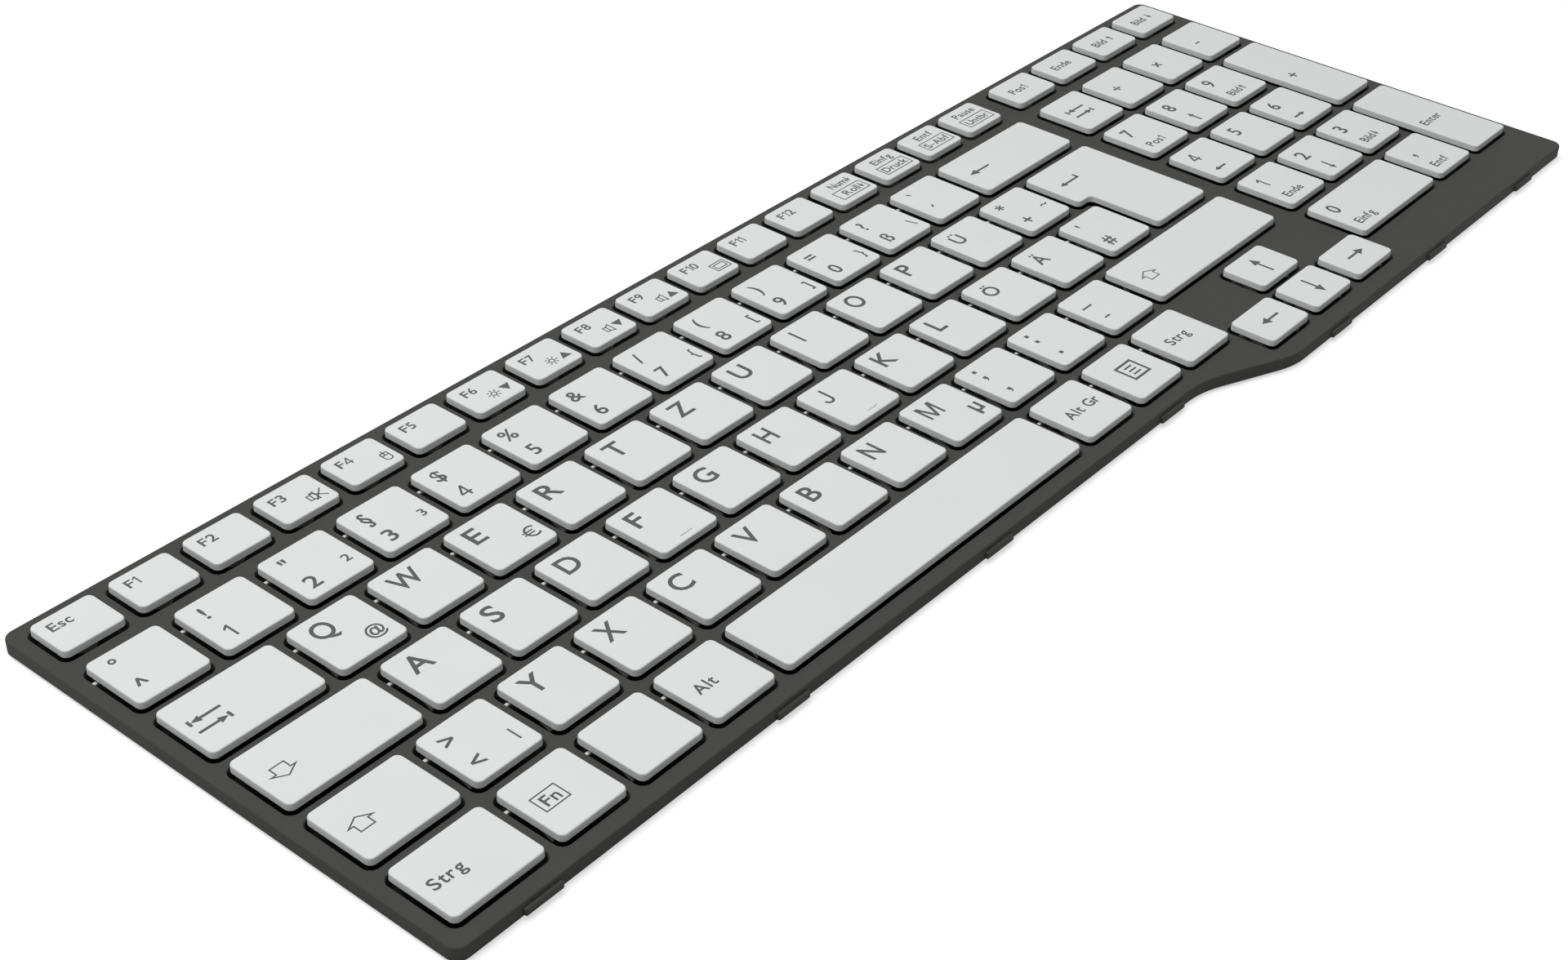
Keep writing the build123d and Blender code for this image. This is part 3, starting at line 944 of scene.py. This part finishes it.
def add_lever(shape, at, half, way, turned):
    """A frame that leans over the dome: two legs and a bar at the upper end."""
    low = floor_z + LEVER_THICKNESS / 2 + MECHANISM_PLAY
    high = ceiling_z - LEVER_THICKNESS / 2 - MECHANISM_PLAY

    def place(x, y, z):
        return Vector((at.x - y, at.y + x, z)) if turned else Vector((at.x + x, at.y + y, z))

    for x in (-half, half):
        foot = place(x, -way * LEVER_REACH, low)
        head = place(x, way * LEVER_REACH, high)
        shape.strut(foot, head, LEVER_THICKNESS, LEVER_THICKNESS, LEVER_MATERIAL)
    end = way * (LEVER_REACH - LEVER_THICKNESS / 2)
    bar = place(-half, end, high), place(half, end, high)
    shape.strut(*bar, LEVER_THICKNESS, LEVER_THICKNESS, LEVER_MATERIAL)


def add_pin(shape, outline):
    """Pin of a square key's levers, which reaches into the gap on both sides of the cap."""
    half = half_size(outline)
    if abs(half.x - half.y) > SQUARE_PLAY:
        return
    at = middle(outline)
    reach = half.x + CAP_GAP - PIN_GAP
    ends = [Vector((at.x + x, at.y + PIN_PLACE, PIN_TOP - PIN_HEIGHT / 2)) for x in (-reach, reach)]
    shape.strut(*ends, PIN_WIDTH, PIN_HEIGHT, LEVER_MATERIAL)


def add_stabiliser(shape, at, half):
    """Wire along a wide cap: a bar under its back, or its left if it is deep, and two legs down."""
    span = max(half) - BAR_INSET
    back = min(half) - BAR_INSET
    front = back - BAR_REACH
    low = floor_z + BAR
    high = ceiling_z - BAR
    points = []
    for x, y, z in ((-span, front, low), (-span, back, high), (span, back, high), (span, front, low)):
        place = Vector((-y, x)) if half.y > half.x else Vector((x, y))
        points.append((at + place).to_3d() + Vector((0, 0, z)))
    for start, end in zip(points, points[1:]):
        shape.strut(start, end, BAR, BAR, WIRE_MATERIAL)


for name, outline in moving.items():
    low, high = outline[0], outline[2]  # of the enter key, its whole depth beside the notch
    at = (low + high) / 2
    half = (high - low) / 2
    shape = Shape()
    add_dome(shape, at, ceiling_z)
    add_lever(shape, at, OUTER_HALF, 1, name == "enter")
    add_lever(shape, at, INNER_HALF, -1, name == "enter")
    add_pin(shape, outline)
    if 2 * max(half) > STABILISED_WIDTH:
        add_stabiliser(shape, at, half)
    made = piece(
        "mechanism_" + name, shape, [silicone, acetal, wire], "module", "lever",
        "rubber_domes", "outer_levers", "inner_levers", "stabiliser_bars",
    )
    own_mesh(made)

shape = Shape()
for outline in fixed:
    add_dome(shape, middle(outline), rim_z)
for outline in number_row[:len(NUMBER_SIGNS)]:
    add_pin(shape, outline)
piece("mechanisms_fixed", shape, [silicone, acetal], "module", "dome", "rubber_domes")

for node, material in (("base_plate", steel), ("membrane_sheet", film_painted_gap_shade)):
    nodes[node].data.materials.clear()
    nodes[node].data.materials.append(material)


# Floor, light and camera

FLOOR_SIZE = 8.0
FLOOR_TONE = 0.6
FLOOR_GLOW = 0.6
LAMP_PLACE = Vector((-0.28, 0.15, 1.05))
LAMP_SIZE = 0.9
LAMP_POWER = 11.3
AMBIENT = 0.18
CAMERA_PLACE = Vector((-0.34275, -0.23942, 0.26316))
CAMERA_AIM = Vector((-0.05622, -0.01122, 0.00535))
CAMERA_ROLL = 1.835  # degrees
CAMERA_LENS = 54.78
SENSOR_WIDTH = 36


def seen_directly(tree):
    """A socket that is 1 for what the camera sees, also in mirrors and through glass."""
    path = tree.nodes.new("ShaderNodeLightPath")
    seen = path.outputs["Is Camera Ray"]
    for kind in ("Is Glossy Ray", "Is Transmission Ray"):
        both = tree.nodes.new("ShaderNodeMath")
        both.operation = "MAXIMUM"
        tree.links.new(seen, both.inputs[0])
        tree.links.new(path.outputs[kind], both.inputs[1])
        seen = both.outputs["Value"]
    return seen


def pale_floor():
    """Diffuse white that glows a little where the camera sees it, so that only shadows darken it."""
    made = bpy.data.materials.new("pale_floor")
    made.use_nodes = True
    tree = made.node_tree
    tree.nodes.remove(tree.nodes["Principled BSDF"])
    lit = tree.nodes.new("ShaderNodeBsdfDiffuse")
    lit.inputs["Color"].default_value = (FLOOR_TONE, FLOOR_TONE, FLOOR_TONE, 1)
    glow = tree.nodes.new("ShaderNodeEmission")
    scaled = tree.nodes.new("ShaderNodeMath")
    scaled.operation = "MULTIPLY"
    scaled.inputs[1].default_value = FLOOR_GLOW
    both = tree.nodes.new("ShaderNodeAddShader")
    tree.links.new(seen_directly(tree), scaled.inputs[0])
    tree.links.new(scaled.outputs["Value"], glow.inputs["Strength"])
    tree.links.new(lit.outputs["BSDF"], both.inputs[0])
    tree.links.new(glow.outputs["Emission"], both.inputs[1])
    tree.links.new(both.outputs["Shader"], tree.nodes["Material Output"].inputs["Surface"])
    return made


bpy.ops.mesh.primitive_plane_add(size=FLOOR_SIZE)
floor = bpy.context.object
floor.name = "floor"
floor.data.materials.append(pale_floor())
floor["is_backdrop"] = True

world = bpy.data.worlds.new("studio")
bpy.context.scene.world = world
world.use_nodes = True
sky = world.node_tree.nodes["Background"]
brightness = world.node_tree.nodes.new("ShaderNodeMapRange")
brightness.inputs["To Min"].default_value = AMBIENT
brightness.inputs["To Max"].default_value = 1.0
world.node_tree.links.new(seen_directly(world.node_tree), brightness.inputs["Value"])
world.node_tree.links.new(brightness.outputs["Result"], sky.inputs["Strength"])
sky.inputs["Color"].default_value = (1, 1, 1, 1)

lamp_data = bpy.data.lights.new("softbox", "AREA")
lamp_data.size = LAMP_SIZE
lamp_data.energy = LAMP_POWER
lamp = bpy.data.objects.new("softbox", lamp_data)
lamp.location = LAMP_PLACE
lamp.rotation_mode = "QUATERNION"
lamp.rotation_quaternion = (-LAMP_PLACE).to_track_quat("-Z", "Y")
bpy.context.scene.collection.objects.link(lamp)

camera_data = bpy.data.cameras.new("camera")
camera_data.sensor_width = SENSOR_WIDTH
camera_data.lens = CAMERA_LENS
camera = bpy.data.objects.new("camera", camera_data)
camera.location = CAMERA_PLACE
camera.rotation_mode = "QUATERNION"
roll = Quaternion((0, 0, 1), math.radians(CAMERA_ROLL))
camera.rotation_quaternion = (CAMERA_AIM - CAMERA_PLACE).to_track_quat("-Z", "Y") @ roll
bpy.context.scene.collection.objects.link(camera)
bpy.context.scene.camera = camera
bpy.context.scene.view_settings.view_transform = "Standard"

low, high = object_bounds()
